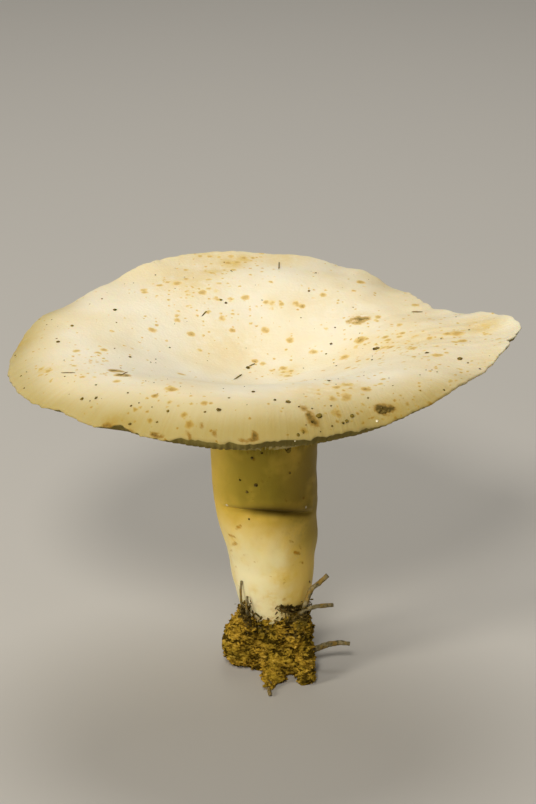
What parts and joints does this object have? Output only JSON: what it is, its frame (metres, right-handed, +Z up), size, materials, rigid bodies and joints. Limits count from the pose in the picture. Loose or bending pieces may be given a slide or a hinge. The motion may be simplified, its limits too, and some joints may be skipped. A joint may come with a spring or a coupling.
{
  "type": "cream funnel-capped russula mushroom",
  "caption": "Cream-white mushroom with a wide funnel cap, gills and a short stem, as picked, standing in a clump of soil with rootlets and twigs.",
  "frame": {"origin": "on the flat underside of the soil clump, straight below the middle of the cap", "axes": "+Z up along the stem, +X to the right along the cap's widest span, +Y to the back of the cap"},
  "size_m": [0.1195, 0.1084, 0.0865],
  "materials": {
    "mushroom": "satin",
    "soil": "matte",
    "rootlets": "matte"
  },
  "bodies": {
    "root": {"mushroom": "mushroom", "soil_clump": "soil", "twig_right_upper": "rootlets", "rootlet_right_middle": "rootlets", "rootlet_right_lower": "rootlets", "twig_left_upright": "rootlets", "twig_left_short": "rootlets", "rootlet_front": "rootlets"}
  },
  "joints": []
}
